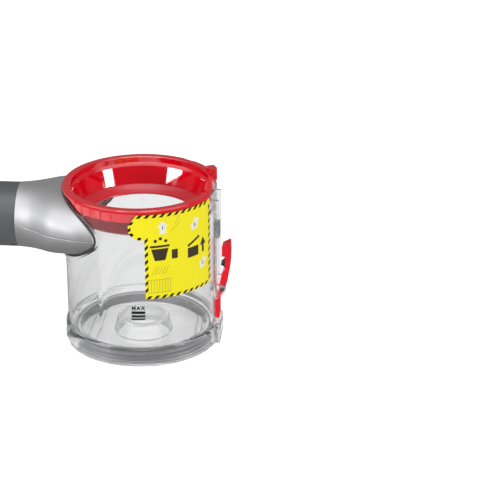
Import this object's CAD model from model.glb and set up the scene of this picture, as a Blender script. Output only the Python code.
"""Cyclone dust bin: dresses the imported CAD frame, in metres, +Z up, inlet towards -X, catch at +X."""

import math

import bmesh
import bpy
import numpy as np
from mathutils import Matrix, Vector


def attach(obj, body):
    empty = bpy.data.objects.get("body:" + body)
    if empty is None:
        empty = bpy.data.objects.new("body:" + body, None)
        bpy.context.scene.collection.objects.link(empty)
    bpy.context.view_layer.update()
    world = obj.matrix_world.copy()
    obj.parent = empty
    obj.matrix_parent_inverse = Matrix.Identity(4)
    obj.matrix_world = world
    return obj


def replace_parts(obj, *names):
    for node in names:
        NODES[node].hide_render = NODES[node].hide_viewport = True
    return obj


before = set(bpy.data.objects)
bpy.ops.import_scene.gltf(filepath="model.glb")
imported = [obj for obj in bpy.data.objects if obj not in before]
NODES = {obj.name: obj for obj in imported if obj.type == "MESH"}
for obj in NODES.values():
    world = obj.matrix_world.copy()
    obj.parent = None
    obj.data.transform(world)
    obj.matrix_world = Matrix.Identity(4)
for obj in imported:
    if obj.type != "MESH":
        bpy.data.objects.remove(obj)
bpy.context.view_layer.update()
MM = 0.001

WALL_R = 55.0
PRINT_R = WALL_R + 0.08
WALL_TRIM_Z = 117.9  # the foot's bead ends under the wall's top edge
COLLAR_FACE_X = -87.95  # the inlet's shells begin at the collar
STRIP = 1.2  # width of the strips that a print is bent in


# ---------------------------------------------------------------- materials
def new_material(name):
    """An empty node material with its output."""
    mat = bpy.data.materials.new(name)
    mat.use_nodes = True
    tree = mat.node_tree
    tree.nodes.clear()
    out = tree.nodes.new("ShaderNodeOutputMaterial")
    return mat, tree, out


def object_noise(tree, scale, detail=3.0, stretch=(1, 1, 1)):
    """Noise over Object coordinates, scale in features per metre."""
    coord = tree.nodes.new("ShaderNodeTexCoord")
    mapping = tree.nodes.new("ShaderNodeMapping")
    mapping.inputs["Scale"].default_value = stretch
    noise = tree.nodes.new("ShaderNodeTexNoise")
    noise.inputs["Scale"].default_value = scale
    noise.inputs["Detail"].default_value = detail
    tree.links.new(coord.outputs["Object"], mapping.inputs["Vector"])
    tree.links.new(mapping.outputs["Vector"], noise.inputs["Vector"])
    return noise


def ranged(tree, socket, low, high):
    """The socket's 0 to 1 mapped to low to high."""
    node = tree.nodes.new("ShaderNodeMapRange")
    node.inputs["To Min"].default_value = low
    node.inputs["To Max"].default_value = high
    tree.links.new(socket, node.inputs["Value"])
    return node.outputs["Result"]


def moulded(
    name, colour, rough=(0.2, 0.3), grain=2500.0, bump=0.03, metallic=0.0, coat=0.0, ior=1.5, vary=0.06
):
    """Plastic, rubber or metal whose colour and roughness drift a little, with a fine grain on the surface."""
    mat, tree, out = new_material(name)
    shader = tree.nodes.new("ShaderNodeBsdfPrincipled")
    shader.inputs["Metallic"].default_value = metallic
    shader.inputs["IOR"].default_value = ior
    shader.inputs["Coat Weight"].default_value = coat
    shader.inputs["Coat Roughness"].default_value = 0.04
    broad = object_noise(tree, 60.0)
    mix = tree.nodes.new("ShaderNodeMix")
    mix.data_type = "RGBA"
    dark = tuple(c * (1 - vary) for c in colour)
    light = tuple(min(1.0, c * (1 + vary)) for c in colour)
    mix.inputs["A"].default_value = (*dark, 1)
    mix.inputs["B"].default_value = (*light, 1)
    tree.links.new(broad.outputs["Fac"], mix.inputs["Factor"])
    tree.links.new(mix.outputs["Result"], shader.inputs["Base Color"])
    tree.links.new(ranged(tree, broad.outputs["Fac"], *rough), shader.inputs["Roughness"])
    fine = object_noise(tree, grain, 2.0)
    lift = tree.nodes.new("ShaderNodeBump")
    lift.inputs["Strength"].default_value = bump
    lift.inputs["Distance"].default_value = 0.0001
    tree.links.new(fine.outputs["Fac"], lift.inputs["Height"])
    tree.links.new(lift.outputs["Normal"], shader.inputs["Normal"])
    tree.links.new(shader.outputs["BSDF"], out.inputs["Surface"])
    return mat


def clear_plastic(name, tint, rough=0.02, ior=1.49, bump=0.004, ease=0.08):
    """Clear moulded plastic: glass for what is seen, let straight through by the share ease.

    It is open to the rays from lamps, and darkens a little where it is seen edge on."""
    mat, tree, out = new_material(name)
    glass = tree.nodes.new("ShaderNodeBsdfPrincipled")
    edge = tree.nodes.new("ShaderNodeLayerWeight")
    edge.inputs["Blend"].default_value = 0.22
    graze = tree.nodes.new("ShaderNodeMapRange")
    graze.inputs["From Min"].default_value = 0.45
    tree.links.new(edge.outputs["Facing"], graze.inputs["Value"])
    shade = tree.nodes.new("ShaderNodeMix")
    shade.data_type = "RGBA"
    shade.inputs["A"].default_value = (*tint, 1)
    shade.inputs["B"].default_value = (*[c * 0.5 for c in tint], 1)
    tree.links.new(graze.outputs["Result"], shade.inputs["Factor"])
    tree.links.new(shade.outputs["Result"], glass.inputs["Base Color"])
    glass.inputs["Roughness"].default_value = rough
    glass.inputs["IOR"].default_value = ior
    glass.inputs["Transmission Weight"].default_value = 1.0
    wave = object_noise(tree, 45.0, 1.0)
    lift = tree.nodes.new("ShaderNodeBump")
    lift.inputs["Strength"].default_value = bump
    lift.inputs["Distance"].default_value = 0.001
    tree.links.new(wave.outputs["Fac"], lift.inputs["Height"])
    tree.links.new(lift.outputs["Normal"], glass.inputs["Normal"])
    open_to_lamps = tree.nodes.new("ShaderNodeBsdfTransparent")
    open_to_lamps.inputs["Color"].default_value = (0.93, 0.93, 0.93, 1)
    path = tree.nodes.new("ShaderNodeLightPath")
    mix = tree.nodes.new("ShaderNodeMixShader")
    straight = tree.nodes.new("ShaderNodeBsdfTransparent")
    straight.inputs["Color"].default_value = (*tint, 1)
    soft = tree.nodes.new("ShaderNodeMixShader")
    soft.inputs["Fac"].default_value = ease
    tree.links.new(glass.outputs["BSDF"], soft.inputs[1])
    tree.links.new(straight.outputs["BSDF"], soft.inputs[2])
    tree.links.new(path.outputs["Is Shadow Ray"], mix.inputs["Fac"])
    tree.links.new(soft.outputs["Shader"], mix.inputs[1])
    tree.links.new(open_to_lamps.outputs["BSDF"], mix.inputs[2])
    tree.links.new(mix.outputs["Shader"], out.inputs["Surface"])
    return mat


def soft_clear(name, colour, alpha, rough=0.25):
    """Soft see-through overmould: coloured plastic that lets part of the light straight through."""
    mat, tree, out = new_material(name)
    shader = tree.nodes.new("ShaderNodeBsdfPrincipled")
    shader.inputs["Roughness"].default_value = rough
    shader.inputs["Alpha"].default_value = alpha
    broad = object_noise(tree, 80.0)
    mix = tree.nodes.new("ShaderNodeMix")
    mix.data_type = "RGBA"
    mix.inputs["A"].default_value = (*[c * 0.92 for c in colour], 1)
    mix.inputs["B"].default_value = (*[min(1, c * 1.08) for c in colour], 1)
    tree.links.new(broad.outputs["Fac"], mix.inputs["Factor"])
    tree.links.new(mix.outputs["Result"], shader.inputs["Base Color"])
    tree.links.new(shader.outputs["BSDF"], out.inputs["Surface"])
    return mat


CLEAR_WALL = clear_plastic("clear_wall", (0.99, 0.992, 0.995))
CLEAR_BASE = clear_plastic("clear_base", (0.975, 0.978, 0.98), rough=0.03, ease=0.22)
LEDGE = soft_clear("ledge_grey", (0.42, 0.42, 0.43), 0.24)
RED = moulded("ring_red", (0.74, 0.0, 0.012), (0.05, 0.08), coat=1.0, bump=0.008)
LEVER_RED = moulded("lever_red", (0.80, 0.002, 0.014), (0.28, 0.36), bump=0.04, ior=1.42)
LIP = soft_clear("lip_pink", (0.75, 0.03, 0.05), 0.9)
SEAL_RED = soft_clear("seal_maroon", (0.22, 0.01, 0.015), 0.8)
SEAL_GREY = moulded("seal_grey", (0.13, 0.13, 0.135), (0.25, 0.4), bump=0.05)
NICKEL = moulded(
    "nickel_paint", (0.58, 0.58, 0.59), (0.54, 0.60), metallic=1.0, grain=5200, bump=0.02, vary=0.02
)
COLLAR = moulded("collar_grey", (0.105, 0.108, 0.112), (0.34, 0.44), grain=3600, bump=0.08)
INNER_GREY = moulded("liner_grey", (0.16, 0.16, 0.165), (0.4, 0.5), bump=0.06)
RUBBER = moulded("black_rubber", (0.022, 0.022, 0.023), (0.45, 0.6), bump=0.08)
GREY = moulded("detent_grey", (0.23, 0.235, 0.24), (0.4, 0.5), bump=0.06)
STEEL = moulded("bright_steel", (0.62, 0.62, 0.63), (0.18, 0.3), metallic=1.0, bump=0.03)
BRASS = moulded("contact_brass", (0.72, 0.53, 0.2), (0.2, 0.3), metallic=1.0, bump=0.03)
YELLOW = moulded("film_yellow", (0.98, 0.87, 0.0), (0.3, 0.36), grain=4000, bump=0.02, vary=0.015)
INK = moulded("print_black", (0.006, 0.006, 0.006), (0.45, 0.55), bump=0.02, ior=1.35)
INK_BROWN = moulded("print_brown", (0.05, 0.03, 0.012), (0.35, 0.45), bump=0.02)
INK_OLIVE = moulded("print_olive", (0.55, 0.50, 0.03), (0.35, 0.45), bump=0.02)
INK_WHITE = moulded("print_white", (0.88, 0.87, 0.80), (0.35, 0.45), bump=0.02)

NODE_LOOKS = {
    "bin_body": CLEAR_WALL,
    "base_flap": CLEAR_BASE,
    "scraper_ring": RED,
    "scraper_lip": LIP,
    "ring_seal": SEAL_RED,
    "inlet_upper_shell": NICKEL,
    "inlet_lower_shell": NICKEL,
    "inlet_duct": INNER_GREY,
    "inlet_gasket": RUBBER,
    "socket_collar": COLLAR,
    "socket_seal": RUBBER,
    "collar_screws": STEEL,
    "contact_block": INNER_GREY,
    "contact_blades": BRASS,
    "instruction_sticker": YELLOW,
    "fill_mark": INK,
    "runner_detent": GREY,
    "base_seal": SEAL_GREY,
    "base_hinge_pin": STEEL,
    "catch_lever": LEVER_RED,
    "catch_buffer": RUBBER,
    "catch_pivot_pin": STEEL,
    "catch_spring": STEEL,
}


def smooth_group(name, sharp_over):
    """Merges a CAD mesh's loose triangles and shades it smooth, but for edges over the given degrees."""
    group = bpy.data.node_groups.new(name, "GeometryNodeTree")
    group.interface.new_socket("Geometry", in_out="INPUT", socket_type="NodeSocketGeometry")
    group.interface.new_socket("Geometry", in_out="OUTPUT", socket_type="NodeSocketGeometry")
    n, link = group.nodes, group.links
    start, end = n.new("NodeGroupInput"), n.new("NodeGroupOutput")
    weld = n.new("GeometryNodeMergeByDistance")
    weld.inputs["Distance"].default_value = 2e-6
    faces = n.new("GeometryNodeSetShadeSmooth")
    faces.domain = "FACE"
    edges = n.new("GeometryNodeSetShadeSmooth")
    edges.domain = "EDGE"
    edges.inputs["Shade Smooth"].default_value = False
    angle = n.new("GeometryNodeInputMeshEdgeAngle")
    over = n.new("FunctionNodeCompare")
    over.operation = "GREATER_THAN"
    over.inputs[1].default_value = math.radians(sharp_over)
    link.new(start.outputs[0], weld.inputs["Geometry"])
    link.new(weld.outputs[0], faces.inputs["Geometry"])
    link.new(faces.outputs[0], edges.inputs["Geometry"])
    link.new(angle.outputs["Unsigned Angle"], over.inputs[0])
    link.new(over.outputs[0], edges.inputs["Selection"])
    link.new(edges.outputs[0], end.inputs[0])
    return group


SMOOTH = smooth_group("weld_and_smooth", 30)
SMOOTH_FACETED = smooth_group("weld_and_smooth_facets", 11)
for node_name, look in NODE_LOOKS.items():
    node = NODES[node_name]
    if not node.material_slots:
        node.data.materials.append(None)
    for entry in node.material_slots:
        entry.link = "OBJECT"
        entry.material = look
    node.modifiers.new("smooth", "NODES").node_group = SMOOTH_FACETED if node_name == "base_flap" else SMOOTH


# ---------------------------------------------------------------- mesh helpers
def piece(name, verts_mm, faces, material, body="bin"):
    """A mesh piece from millimetre points and index faces, riding on a body."""
    mesh = bpy.data.meshes.new(name)
    mesh.from_pydata((np.asarray(verts_mm, float) * MM).tolist(), [], faces)
    mesh.materials.append(material)
    obj = bpy.data.objects.new(name, mesh)
    bpy.context.scene.collection.objects.link(obj)
    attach(obj, body)
    return obj


def face_outwards(obj):
    """Turns a closed mesh's faces so that their normals point out of it."""
    bm = bmesh.new()
    bm.from_mesh(obj.data)
    bmesh.ops.recalc_face_normals(bm, faces=bm.faces[:])
    bm.to_mesh(obj.data)
    bm.free()


def wrap_points(flat, radius):
    """Flat (arc length mm, height mm) points onto a cylinder: x = r cos(s/R), y = r sin(s/R), z = height."""
    flat = np.asarray(flat, float)
    angle = flat[:, 0] / WALL_R
    return np.stack([radius * np.cos(angle), radius * np.sin(angle), flat[:, 1]], axis=1)


def bent_print(name, bm, material, radius, thick):
    """A flat drawing in (arc length, height) mm, cut into strips, bent round the wall and thickened."""
    span = [v.co.x for v in bm.verts]
    for s in np.arange(min(span) + STRIP / 2, max(span), STRIP):
        whole = bm.verts[:] + bm.edges[:] + bm.faces[:]
        bmesh.ops.bisect_plane(bm, geom=whole, plane_co=(s, 0, 0), plane_no=(1, 0, 0))
    bmesh.ops.recalc_face_normals(bm, faces=bm.faces[:])
    flip = [f for f in bm.faces if f.normal.z < 0]
    bmesh.ops.reverse_faces(bm, faces=flip)
    mesh = bpy.data.meshes.new(name)
    bm.to_mesh(mesh)
    bm.free()
    flat = np.empty(len(mesh.vertices) * 3)
    mesh.vertices.foreach_get("co", flat)
    mesh.vertices.foreach_set("co", (wrap_points(flat.reshape(-1, 3)[:, :2], radius) * MM).ravel())
    mesh.materials.append(material)
    mesh.update()
    obj = bpy.data.objects.new(name, mesh)
    bpy.context.scene.collection.objects.link(obj)
    solid = obj.modifiers.new("thickness", "SOLIDIFY")
    solid.thickness = thick * MM
    solid.offset = 1.0
    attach(obj, "bin")
    return obj


def printed(name, polygons, material, radius=PRINT_R + 0.2, thick=0.05):
    """Flat polygons printed on the wall."""
    bm = bmesh.new()
    for poly in polygons:
        bm.faces.new([bm.verts.new((s, z, 0)) for s, z in poly])
    return bent_print(name, bm, material, radius, thick)


def arc_s(angle_deg):
    """Arc length on the wall, mm, of a direction round the bin's axis."""
    return math.radians(angle_deg) * WALL_R


# ---------------------------------------------------------------- the sticker's print
S0, S1 = arc_s(-80), arc_s(-20.7)
TAB_S = arc_s(-91.8)
Z_LOW, Z_TOP, Z_TAB = 53.0, 117.0, 98.2
BAND, STRIPE, PITCH = 2.3, 2.5, 5.4


def across_stripe(s, z, depth):
    """One leaning stripe of a level border, which reaches from z down by depth."""
    return [(s, z - depth), (s + STRIPE, z - depth), (s + STRIPE + depth, z), (s + depth, z)]


def upright_stripe(s, z, depth):
    """One leaning stripe of an upright border that starts at s."""
    return [(s, z), (s + depth, z + depth), (s + depth, z + depth + STRIPE), (s, z + STRIPE)]


def border_stripes():
    """All the stripes of the sticker's edge, its tab included."""
    out = []
    for s in np.arange(arc_s(-85.6) - 0.5, S1 - STRIPE - BAND, PITCH):
        out.append(across_stripe(s, Z_TOP, BAND))
    for s in np.arange(S0 + 0.3, S1 - STRIPE - BAND, PITCH):
        out.append(across_stripe(s, Z_LOW + BAND, BAND))
    for z in np.arange(Z_LOW + 4.6, Z_TAB - 2, PITCH):
        out.append(upright_stripe(S0, z, BAND))
    for z in np.arange(Z_LOW + 2.0, Z_TOP - STRIPE - BAND, PITCH):
        out.append(upright_stripe(S1 - BAND, z, BAND))
    # the tab's slanted and rounded corners
    left = TAB_S
    out.append([(left + 0.3, 109.4), (left + 2.6, 109.8), (left + 4.2, 112.0), (left + 2.3, 112.2)])
    out.append([(left, 104.2), (left + 2.0, 105.6), (left + 2.0, 107.9), (left, 106.6)])
    out.append([(left + 2.2, 100.8), (left + 4.2, 102.2), (left + 2.6, 104.0), (left + 0.9, 102.9)])
    out.append([(left + 6.2, 98.5), (left + 8.6, 98.3), (left + 9.2, 100.4), (left + 7.0, 100.6)])
    return out


def turned(points, s, z, degrees):
    """The points turned about the origin and moved to (s, z)."""
    c, d = math.cos(math.radians(degrees)), math.sin(math.radians(degrees))
    return [(s + c * a - d * b, z + d * a + c * b) for a, b in points]


ARROW = [(-2.3, -4.8), (2.3, -4.8), (2.3, 0.4), (4.2, 0.4), (0, 5.0), (-4.2, 0.4), (-2.3, 0.4)]


def disc(s, z, r, n=24):
    """A round dot of radius r about (s, z)."""
    t = np.radians(np.linspace(0, 360, n, endpoint=False))
    return [(s + r * math.cos(a), z + r * math.sin(a)) for a in t]


def bar(s0, s1, z0, z1):
    """A level rectangle."""
    return [(s0, z0), (s1, z0), (s1, z1), (s0, z1)]


def line(s0, z0, s1, z1, w=0.4):
    """A straight stroke of width w between two points."""
    d = math.hypot(s1 - s0, z1 - z0)
    nx, nz = -(z1 - z0) / d * w / 2, (s1 - s0) / d * w / 2
    return [(s0 + nx, z0 + nz), (s1 + nx, z1 + nz), (s1 - nx, z1 - nz), (s0 - nx, z0 - nz)]


printed("sticker_border", border_stripes(), INK)
ARROW_PLACES = (
    ("1", arc_s(-66.5), 106.8, 0),
    ("2", arc_s(-39.5), 103.6, 152),
    ("3", arc_s(-31.0), 71.5, 140),
)
printed("sticker_arrows", [turned(ARROW, s, z, a) for _, s, z, a in ARROW_PLACES], INK_WHITE)


def lettering(name, text, s, z, size, radius, spread=1.0, bold=0.02):
    """Plain figures or letters, drawn flat by Blender's own font and then bent on to the wall."""
    curve = bpy.data.curves.new(name, "FONT")
    curve.body, curve.size = text, size
    curve.align_x, curve.align_y = "CENTER", "CENTER"
    curve.resolution_u = 4
    curve.space_character = spread
    curve.offset = bold * size
    temp = bpy.data.objects.new("lettering_draft", curve)
    bpy.context.scene.collection.objects.link(temp)
    bpy.context.view_layer.update()
    draft = bpy.data.meshes.new_from_object(temp)
    bm = bmesh.new()
    bm.from_mesh(draft)
    bmesh.ops.remove_doubles(bm, verts=bm.verts[:], dist=1e-5)
    bmesh.ops.translate(bm, verts=bm.verts[:], vec=(s, z, 0))
    bpy.data.objects.remove(temp)
    bpy.data.meshes.remove(draft)
    return bent_print(name, bm, INK, radius, 0.04)


for figure, s, z, a in ARROW_PLACES:
    lettering(f"arrow_figure_{figure}", figure, s, z - 0.2, 3.6, PRINT_R + 0.27)
lettering("fill_word", "MAX", arc_s(-85.7), 46.0, 3.7, PRINT_R + 0.02, spread=1.35, bold=0.05)

# generic drawings of the instruction film: a pail under falling drops, a lidded box, a hatched tray
brown, olive = [], []
s, z = arc_s(-67.5), 88.0
brown.append([(s - 7.5, z + 3), (s - 5.0, z - 6), (s + 2.5, z - 6), (s + 5.0, z + 3)])
brown.append(bar(s - 8.2, s + 5.7, z + 4.0, z + 5.6))
brown += [disc(s - 4.5, z + 9.0, 1.2), disc(s - 0.8, z + 10.6, 1.2), disc(s + 3.0, z + 8.6, 1.2)]
brown.append(bar(s + 7.4, s + 12.0, z - 6.0, z + 1.0))
s, z = arc_s(-40.0), 86.5
brown.append(bar(s - 6.0, s + 4.0, z - 7.0, z + 0.5))
brown.append(turned(bar(-6.0, 6.0, -0.9, 0.9), s - 0.4, z + 4.6, 24))
brown.append(turned([(-3.2, -2.2), (3.2, -2.2), (0, 3.4)], s + 9.0, z + 1.5, 0))
brown.append(bar(s + 7.9, s + 10.1, z - 6.4, z - 0.7))
printed("sticker_blocks", brown, INK_BROWN)
tray_s, tray_z = arc_s(-69.5), 57.5
for k in range(9):
    olive.append(line(tray_s - 8 + 2 * k, tray_z, tray_s - 8 + 2 * k, tray_z + 10))
for z in (tray_z, tray_z + 10):
    olive.append(line(tray_s - 8.4, z, tray_s + 8.4, z))
for k in range(5):
    olive.append(line(tray_s - 5 + 2.2 * k, 71.5, tray_s - 2 + 2.2 * k, 77.5))
olive += [line(arc_s(-57), 108, arc_s(-53), 114), line(arc_s(-60), 103, arc_s(-52), 110)]
printed("sticker_tray", olive, INK_OLIVE)

# ---------------------------------------------------------------- the inlet's two half shells and their gasket
INLET_STATIONS = np.array([-110, -88, -77, -61, -42, -18, 5.0])
INLET_WIDE = np.array([23.4, 23.4, 27.0, 39.8, 46.6, 49.2, 50.0])
INLET_TALL = np.array([23.4, 23.4, 23.4, 23.3, 22.8, 22.4, 22.2])
INLET_MIDDLE = np.array([92.5, 92.5, 92.8, 93.4, 93.9, 94.0, 94.0])
INLET_POWER = np.array([2.0, 2.0, 2.2, 2.45, 2.3, 2.15, 2.1])
SEAM_X = np.array([-110, -88, -86, -83.5, -80, -72, 5.0])
SEAM_Z = np.array([97.2, 97.2, 96.0, 93.6, 92.4, 92.3, 92.5])
DENSE_X = np.linspace(-110, 5, 921)


def eased(stations, values, sigma=3.0):
    """Values at the stations joined by straight lines, then rounded by a bell curve sigma mm wide."""
    raw = np.interp(DENSE_X, stations, values)
    step = DENSE_X[1] - DENSE_X[0]
    reach = int(4 * sigma / step)
    bell = np.exp(-0.5 * (np.arange(-reach, reach + 1) * step / sigma) ** 2)
    return np.convolve(np.pad(raw, reach, mode="edge"), bell / bell.sum(), mode="valid")


WIDE, TALL = eased(INLET_STATIONS, INLET_WIDE), eased(INLET_STATIONS, INLET_TALL)
MIDDLE, POWER = eased(INLET_STATIONS, INLET_MIDDLE), eased(INLET_STATIONS, INLET_POWER)
SEAM = eased(SEAM_X, SEAM_Z, 1.2)


def inlet_point(x, t):
    """The inlet's skin: |y/a|^n + |(z - c)/b|^n = 1 at each x, with t the angle from +Y towards +Z."""
    a, b, c, n = (np.interp(x, DENSE_X, v) for v in (WIDE, TALL, MIDDLE, POWER))
    cos, sin = np.cos(t), np.sin(t)
    y = a * np.sign(cos) * np.abs(cos) ** (2 / n)
    z = c + b * np.sign(sin) * np.abs(sin) ** (2 / n)
    return np.stack([x + 0 * y, y, z], axis=-1)


def seam_angle(x):
    """The angle t at which the skin crosses the seam between the two shells."""
    b, c, n, z = (np.interp(x, DENSE_X, v) for v in (TALL, MIDDLE, POWER, SEAM))
    lift = (z - c) / b
    return np.arcsin(np.sign(lift) * np.abs(lift) ** (n / 2))


def foot_x(t):
    """For each angle t, the x at which the skin meets the wall's cylinder x^2 + y^2 = R^2."""
    grid = np.linspace(-87.5, -15, 1451)
    p = inlet_point(grid[:, None], t[None, :] * np.ones((len(grid), 1)))
    inside = p[..., 0] ** 2 + p[..., 1] ** 2 < WALL_R**2
    return grid[np.argmax(inside, axis=0)]


def between_seams(seam, v, upper):
    """The angle at the share v of the way from one seam to the other, over the top or under the bottom."""
    return seam + v * (math.pi - 2 * seam) if upper else math.pi - seam + v * (math.pi + 2 * seam)


def half_shell(name, upper, columns=110, rows=60):
    """One shell: its angle runs from seam to seam, and its length from the collar to the wall."""
    v = np.linspace(0, 1, columns)
    u = np.linspace(0, 1, rows)[:, None]
    t = v * math.pi if upper else math.pi + v * math.pi
    for _ in range(3):
        end = foot_x(t)
        start_angle = seam_angle(end)
        t = between_seams(start_angle, v, upper)
    x = COLLAR_FACE_X + (end[None, :] - COLLAR_FACE_X) * u
    s = seam_angle(x)
    angle = between_seams(s, v, upper)
    points = inlet_point(x, angle).reshape(-1, 3)
    index = np.arange(rows * columns).reshape(rows, columns)
    quads = np.stack([index[:-1, :-1], index[:-1, 1:], index[1:, 1:], index[1:, :-1]], axis=-1).reshape(-1, 4)
    obj = piece(name, points, quads.tolist(), NICKEL)
    solid = obj.modifiers.new("wall", "SOLIDIFY")
    solid.thickness = 2.0 * MM
    solid.offset = -1.0
    edge = obj.modifiers.new("edge", "BEVEL")
    edge.width = 0.25 * MM
    edge.segments = 2
    edge.limit_method = "ANGLE"
    edge.angle_limit = math.radians(50)
    obj.data.shade_smooth()
    return obj


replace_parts(half_shell("inlet_shell_top", True), "inlet_upper_shell")
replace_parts(half_shell("inlet_shell_bottom", False), "inlet_lower_shell")


def foot_bead(name, out, lift, radius, material, count=260, ring=14):
    """A round bead along the inlet's foot, on the foot's outline on the wall moved outwards by out.

    A point is at outline + normal * (out + r cos a), and at WALL_R + lift + r sin a from the bin's axis."""
    t = np.linspace(0, 2 * math.pi, count, endpoint=False)
    end = foot_x(t)
    foot = inlet_point(end, t)
    s, z = np.arctan2(foot[:, 1], foot[:, 0]) % (2 * math.pi) * WALL_R, foot[:, 2]
    for _ in range(8):
        s = (np.roll(s, 1) + 2 * s + np.roll(s, -1)) / 4
        z = (np.roll(z, 1) + 2 * z + np.roll(z, -1)) / 4
    ds, dz = np.roll(s, -1) - np.roll(s, 1), np.roll(z, -1) - np.roll(z, 1)
    long = np.hypot(ds, dz)
    ns, nz = -dz / long, ds / long
    if np.sum(ns * (s - s.mean()) + nz * (z - z.mean())) < 0:
        ns, nz = -ns, -nz
    turn = np.linspace(0, 2 * math.pi, ring, endpoint=False)
    away = out + radius * np.cos(turn)[None, :]
    high = WALL_R + lift + radius * np.sin(turn)[None, :]
    ss, zz = s[:, None] + ns[:, None] * away, z[:, None] + nz[:, None] * away
    angle = ss / WALL_R
    points = np.stack([high * np.cos(angle), high * np.sin(angle), np.minimum(zz, WALL_TRIM_Z)], axis=-1)
    points = points.reshape(-1, 3)
    index = np.arange(count * ring).reshape(count, ring)
    after = np.roll(index, -1, 0)
    quads = np.stack([index, np.roll(index, -1, 1), np.roll(after, -1, 1), after], axis=-1)
    obj = piece(name, points, quads.reshape(-1, 4).tolist(), material)
    face_outwards(obj)
    obj.data.shade_smooth()
    return obj


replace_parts(foot_bead("inlet_foot_gasket", 0.75, 0.55, 0.8, RUBBER), "inlet_gasket")

# ---------------------------------------------------------------- the ring's polished inner face
def swept_profile(name, profile, start, stop, columns, material):
    """A closed profile of (r, z) points carried round Z from start to stop degrees, its ends closed."""
    r, z = np.asarray(profile, float).T
    a = np.radians(np.linspace(start, stop, columns))[:, None]
    points = np.stack([r * np.cos(a), r * np.sin(a), z + 0 * a], axis=-1).reshape(-1, 3)
    count = len(profile)
    index = np.arange(columns * count).reshape(columns, count)
    quads = np.stack([index[:-1], np.roll(index[:-1], -1, 1), np.roll(index[1:], -1, 1), index[1:]], axis=-1)
    faces = quads.reshape(-1, 4).tolist() + [index[0].tolist(), index[-1][::-1].tolist()]
    obj = piece(name, points, faces, material)
    face_outwards(obj)
    obj.data.shade_smooth()
    obj.data.set_sharp_from_angle(angle=math.radians(25))
    return obj


cone_face = [(48.2, 113.9), (47.25, 110.9), (46.25, 107.8), (45.25, 104.7), (44.2, 101.5)]
cone_back = [(44.7, 101.3), (45.6, 103.9), (46.6, 107.5), (47.5, 110.8), (48.35, 113.95)]
swept_profile("ring_inner_face", cone_face + cone_back, 20.3, 339.7, 220, RED)

# red web over the wall's edge at the notch's far end, with its corners eased
web = [(50.5, 105.6), (51.4, 104.6), (54.0, 104.6), (54.9, 105.8)]
web += [(54.9, 119.1), (54.2, 119.8), (50.5, 119.8)]
swept_profile("notch_end_web", web, 19.3, 19.75, 4, RED)

# ---------------------------------------------------------------- sloping ledges round the flap's raised floors
def floor_ledge(name, radius, x0, x1, high, low, wide, samples=720):
    """A band that slopes down outwards round a disc cut by two chords.

    The outline is the circle with x held between x0 and x1, rounded at its corners by a running mean,
    and the band's outer edge lies wide mm out along the outline's normal."""
    t = np.linspace(0, 2 * math.pi, samples, endpoint=False)
    x, y = np.clip(radius * np.cos(t), x0, x1), radius * np.sin(t)
    for _ in range(40):
        x = (np.roll(x, 2) + np.roll(x, 1) + x + np.roll(x, -1) + np.roll(x, -2)) / 5
        y = (np.roll(y, 2) + np.roll(y, 1) + y + np.roll(y, -1) + np.roll(y, -2)) / 5
    dx, dy = np.roll(x, -1) - np.roll(x, 1), np.roll(y, -1) - np.roll(y, 1)
    long = np.hypot(dx, dy)
    rows = [(0.0, high), (0.35, high - 0.05), (wide - 0.35, low + 0.05), (wide, low)]
    bands = [np.stack([x + dy / long * o, y - dx / long * o, z + 0 * x], axis=-1) for o, z in rows]
    points = np.stack(bands, axis=1)
    index = np.arange(samples * len(rows)).reshape(samples, len(rows))
    after = np.roll(index, -1, 0)
    quads = np.stack([index[:, :-1], index[:, 1:], after[:, 1:], after[:, :-1]], axis=-1).reshape(-1, 4)
    obj = piece(name, points.reshape(-1, 3), quads.tolist(), LEDGE, body="base")
    solid = obj.modifiers.new("thick", "SOLIDIFY")
    solid.thickness = 0.15 * MM
    obj.data.shade_smooth()
    return obj


floor_ledge("floor_ledge_outer", 46.6, -38.0, 41.9, 3.75, 3.0, 1.6)
floor_ledge("floor_ledge_inner", 44.4, -31.4, 38.0, 4.8, 4.1, 1.3)

# ---------------------------------------------------------------- floor, light, camera
def area(name, azimuth, elevation, distance, width, height, power):
    """A white rectangular lamp, metres and watts, aimed at the middle of the bin."""
    lamp = bpy.data.lights.new(name, "AREA")
    lamp.shape = "RECTANGLE"
    lamp.size, lamp.size_y = width, height
    lamp.energy = power
    obj = bpy.data.objects.new(name, lamp)
    a, e = math.radians(azimuth), math.radians(elevation)
    target = Vector((0, 0, 0.08))
    towards = Vector((math.cos(a) * math.cos(e), math.sin(a) * math.cos(e), math.sin(e)))
    obj.location = target + distance * towards
    obj.rotation_euler = (target - obj.location).to_track_quat("-Z", "Y").to_euler()
    bpy.context.scene.collection.objects.link(obj)


area("left_softbox", -146, 10.5, 1.1, 0.56, 0.17, 4.4)
area("right_softbox", -24, 11, 1.1, 0.34, 0.17, 2.9)
area("top_softbox", -90, 75, 1.2, 0.9, 0.7, 3.4)

world = bpy.data.worlds.new("studio")
bpy.context.scene.world = world
world.use_nodes = True
wt = world.node_tree
wt.nodes.clear()
w_out = wt.nodes.new("ShaderNodeOutputWorld")
w_white = wt.nodes.new("ShaderNodeBackground")
w_white.inputs["Color"].default_value = (1, 1, 1, 1)
w_white.inputs["Strength"].default_value = 1.0
w_coord = wt.nodes.new("ShaderNodeTexCoord")
w_split = wt.nodes.new("ShaderNodeSeparateXYZ")
wt.links.new(w_coord.outputs["Generated"], w_split.inputs["Vector"])


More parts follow.
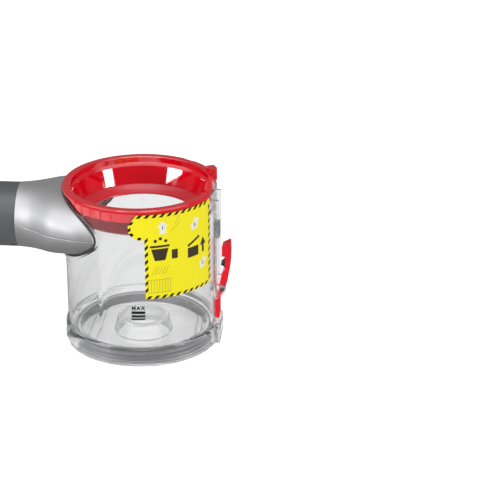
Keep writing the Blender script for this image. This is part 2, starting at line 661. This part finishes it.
def sky(low, high, back):
    """Light from the front (towards -Y), low then high above the horizon, that falls to back behind."""
    light = wt.nodes.new("ShaderNodeBackground")
    light.inputs["Color"].default_value = (1, 1, 1, 1)
    rise = wt.nodes.new("ShaderNodeMapRange")
    rise.inputs["From Min"].default_value = 0.34
    rise.inputs["From Max"].default_value = 0.44
    rise.inputs["To Min"].default_value = low
    rise.inputs["To Max"].default_value = high
    wt.links.new(w_split.outputs["Z"], rise.inputs["Value"])
    fall = wt.nodes.new("ShaderNodeMapRange")
    fall.inputs["From Min"].default_value = -0.12
    fall.inputs["From Max"].default_value = 0.12
    fall.inputs["To Max"].default_value = back
    wt.links.new(w_split.outputs["Y"], fall.inputs["Value"])
    wt.links.new(rise.outputs["Result"], fall.inputs["To Min"])
    wt.links.new(fall.outputs["Result"], light.inputs["Strength"])
    return light.outputs["Background"]


def choose(switch, first, second):
    """The second shader where the switch is 1, else the first."""
    mix = wt.nodes.new("ShaderNodeMixShader")
    wt.links.new(switch, mix.inputs["Fac"])
    wt.links.new(first, mix.inputs[1])
    wt.links.new(second, mix.inputs[2])
    return mix.outputs["Shader"]


w_path = wt.nodes.new("ShaderNodeLightPath")
w_seen = wt.nodes.new("ShaderNodeMath")
w_seen.operation = "MAXIMUM"
wt.links.new(w_path.outputs["Is Camera Ray"], w_seen.inputs[0])
wt.links.new(w_path.outputs["Is Transmission Ray"], w_seen.inputs[1])
lit = choose(w_path.outputs["Is Glossy Ray"], sky(0.62, 0.62, 0.42), sky(0.1, 1.6, 0.2))
wt.links.new(choose(w_seen.outputs["Value"], lit, w_white.outputs["Background"]), w_out.inputs["Surface"])

floor_mesh = bpy.data.meshes.new("floor")
HALF_FLOOR, FLOOR_Z = 6, -0.0002  # metres
floor_corners = [(x * HALF_FLOOR, y * HALF_FLOOR, FLOOR_Z) for x, y in ((-1, -1), (1, -1), (1, 1), (-1, 1))]
floor_mesh.from_pydata(floor_corners, [], [[0, 1, 2, 3]])
floor = bpy.data.objects.new("floor", floor_mesh)
bpy.context.scene.collection.objects.link(floor)
f_mat, f_tree, f_out = new_material("floor_white")
f_diffuse = f_tree.nodes.new("ShaderNodeBsdfDiffuse")
f_glow = f_tree.nodes.new("ShaderNodeEmission")
f_path = f_tree.nodes.new("ShaderNodeLightPath")
f_seen = f_tree.nodes.new("ShaderNodeMath")
f_seen.operation = "MAXIMUM"
f_gain = f_tree.nodes.new("ShaderNodeMath")
f_gain.operation = "MULTIPLY"
f_gain.inputs[1].default_value = 0.58
f_shade = f_tree.nodes.new("ShaderNodeMix")
f_shade.data_type = "RGBA"
f_shade.inputs["A"].default_value = (0.86, 0.86, 0.86, 1)
f_shade.inputs["B"].default_value = (0.34, 0.34, 0.34, 1)
f_tree.links.new(f_path.outputs["Is Glossy Ray"], f_shade.inputs["Factor"])
f_tree.links.new(f_shade.outputs["Result"], f_diffuse.inputs["Color"])
f_add = f_tree.nodes.new("ShaderNodeAddShader")
f_tree.links.new(f_path.outputs["Is Camera Ray"], f_seen.inputs[0])
f_tree.links.new(f_path.outputs["Is Transmission Ray"], f_seen.inputs[1])
f_tree.links.new(f_seen.outputs["Value"], f_gain.inputs[0])
f_tree.links.new(f_gain.outputs["Value"], f_glow.inputs["Strength"])
f_tree.links.new(f_diffuse.outputs["BSDF"], f_add.inputs[0])
f_tree.links.new(f_glow.outputs["Emission"], f_add.inputs[1])
# from below, the floor lets the flap and the underside be seen
f_side = f_tree.nodes.new("ShaderNodeNewGeometry")
f_open = f_tree.nodes.new("ShaderNodeBsdfTransparent")
f_pick = f_tree.nodes.new("ShaderNodeMixShader")
f_tree.links.new(f_side.outputs["Backfacing"], f_pick.inputs["Fac"])
f_tree.links.new(f_add.outputs["Shader"], f_pick.inputs[1])
f_tree.links.new(f_open.outputs["BSDF"], f_pick.inputs[2])
f_tree.links.new(f_pick.outputs["Shader"], f_out.inputs["Surface"])
floor_mesh.materials.append(f_mat)

camera_data = bpy.data.cameras.new("camera")
SENSOR, FOCAL_PX, FRAME_PX = 36.0, 1913.8, 500  # the fitted camera, its focal length in pixels
camera_data.sensor_width = SENSOR
camera_data.lens = SENSOR * FOCAL_PX / FRAME_PX
camera_data.clip_end = 50
camera = bpy.data.objects.new("camera", camera_data)
camera.location = (0.1777, -1.2643, 0.6287)
camera.rotation_euler = Vector((-0.07125, 0.91221, -0.40348)).to_track_quat("-Z", "Y").to_euler()
bpy.context.scene.collection.objects.link(camera)
bpy.context.scene.camera = camera
bpy.context.scene.view_settings.view_transform = "Standard"
